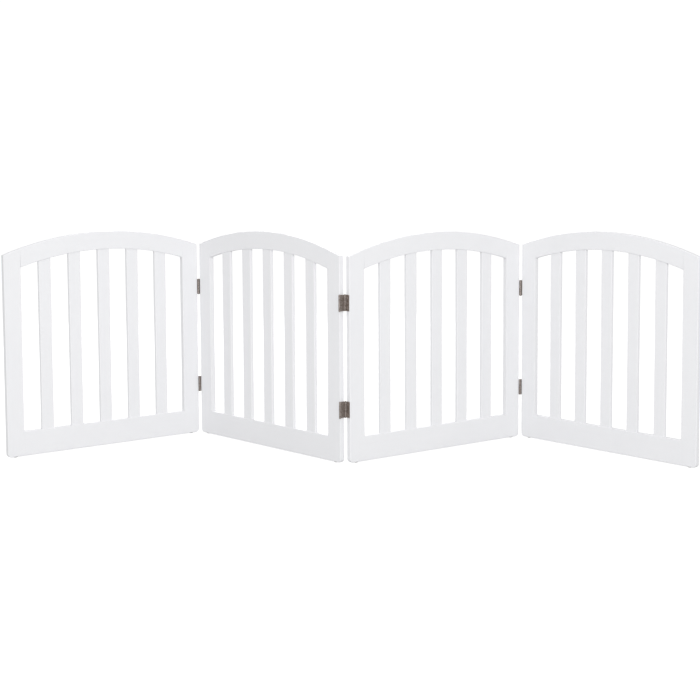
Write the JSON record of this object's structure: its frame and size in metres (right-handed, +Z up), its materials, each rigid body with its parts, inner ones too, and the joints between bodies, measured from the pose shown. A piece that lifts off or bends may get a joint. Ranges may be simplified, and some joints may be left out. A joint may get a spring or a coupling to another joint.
{
  "type": "folding pet gate",
  "caption": "Free-standing folding pet gate: arched slatted wooden panels in a zigzag, joined by double-action screen hinges.",
  "frame": {"origin": "floor level, at the middle of the box around the gate as it stands", "axes": "+X along the run of the gate, -Y towards the front, +Z up"},
  "size_m": [1.8714, 0.431, 0.61],
  "materials": {
    "white_paint": "satin white paint",
    "beech": "raw",
    "dark_nickel": "antique, brushed",
    "glide_rubber": "matt"
  },
  "bodies": {
    "panel_1": {"panel_1_left_stile": "white_paint", "panel_1_right_stile": "white_paint", "panel_1_top_rail": "white_paint", "panel_1_bottom_rail": "white_paint", "panel_1_slat_1": "white_paint", "panel_1_slat_2": "white_paint", "panel_1_slat_3": "white_paint", "panel_1_slat_4": "white_paint", "panel_1_slat_5": "white_paint", "panel_1_dowels": "beech", "panel_1_glides": "glide_rubber", "panel_1_hinge_screws": "dark_nickel", "hinges_1_left_leaves": "dark_nickel"},
    "middle_leaf_1": {"hinges_1_middle_leaves": "dark_nickel", "hinges_1_pins": "dark_nickel"},
    "panel_2": {"panel_2_left_stile": "white_paint", "panel_2_right_stile": "white_paint", "panel_2_top_rail": "white_paint", "panel_2_bottom_rail": "white_paint", "panel_2_slat_1": "white_paint", "panel_2_slat_2": "white_paint", "panel_2_slat_3": "white_paint", "panel_2_slat_4": "white_paint", "panel_2_slat_5": "white_paint", "panel_2_dowels": "beech", "panel_2_glides": "glide_rubber", "panel_2_hinge_screws": "dark_nickel", "hinges_2_left_leaves": "dark_nickel", "hinges_1_right_leaves": "dark_nickel"},
    "middle_leaf_2": {"hinges_2_middle_leaves": "dark_nickel", "hinges_2_pins": "dark_nickel"},
    "panel_3": {"panel_3_left_stile": "white_paint", "panel_3_right_stile": "white_paint", "panel_3_top_rail": "white_paint", "panel_3_bottom_rail": "white_paint", "panel_3_slat_1": "white_paint", "panel_3_slat_2": "white_paint", "panel_3_slat_3": "white_paint", "panel_3_slat_4": "white_paint", "panel_3_slat_5": "white_paint", "panel_3_dowels": "beech", "panel_3_glides": "glide_rubber", "panel_3_hinge_screws": "dark_nickel", "hinges_3_left_leaves": "dark_nickel", "hinges_2_right_leaves": "dark_nickel"},
    "middle_leaf_3": {"hinges_3_middle_leaves": "dark_nickel", "hinges_3_pins": "dark_nickel"},
    "panel_4": {"panel_4_left_stile": "white_paint", "panel_4_right_stile": "white_paint", "panel_4_top_rail": "white_paint", "panel_4_bottom_rail": "white_paint", "panel_4_slat_1": "white_paint", "panel_4_slat_2": "white_paint", "panel_4_slat_3": "white_paint", "panel_4_slat_4": "white_paint", "panel_4_slat_5": "white_paint", "panel_4_dowels": "beech", "panel_4_glides": "glide_rubber", "panel_4_hinge_screws": "dark_nickel", "hinges_3_right_leaves": "dark_nickel"}
  },
  "joints": [
    {"name": "fold_back_1", "type": "hinge", "parent": "panel_2", "child": "middle_leaf_1", "pos_m": [-0.45666, 0.21295, 0.29], "axis": [0, 0, -1], "range_deg": [0, 179]},
    {"name": "fold_forward_1", "type": "hinge", "parent": "middle_leaf_1", "child": "panel_1", "pos_m": [-0.46991, 0.19823, 0.29], "axis": [0, 0, 1], "range_deg": [-84, 95]},
    {"name": "fold_forward_2", "type": "hinge", "parent": "panel_2", "child": "middle_leaf_2", "pos_m": [-0.01325, -0.21295, 0.29], "axis": [0, 0, -1], "range_deg": [0, 175]},
    {"name": "fold_back_2", "type": "hinge", "parent": "middle_leaf_2", "child": "panel_3", "pos_m": [0, -0.19823, 0.29], "axis": [0, 0, 1], "range_deg": [-84, 95]},
    {"name": "fold_forward_3", "type": "hinge", "parent": "panel_3", "child": "middle_leaf_3", "pos_m": [0.46991, 0.19823, 0.29], "axis": [0, 0, -1], "range_deg": [-84, 95]},
    {"name": "fold_back_3", "type": "hinge", "parent": "middle_leaf_3", "child": "panel_4", "pos_m": [0.48316, 0.21295, 0.29], "axis": [0, 0, 1], "range_deg": [0, 179]}
  ]
}
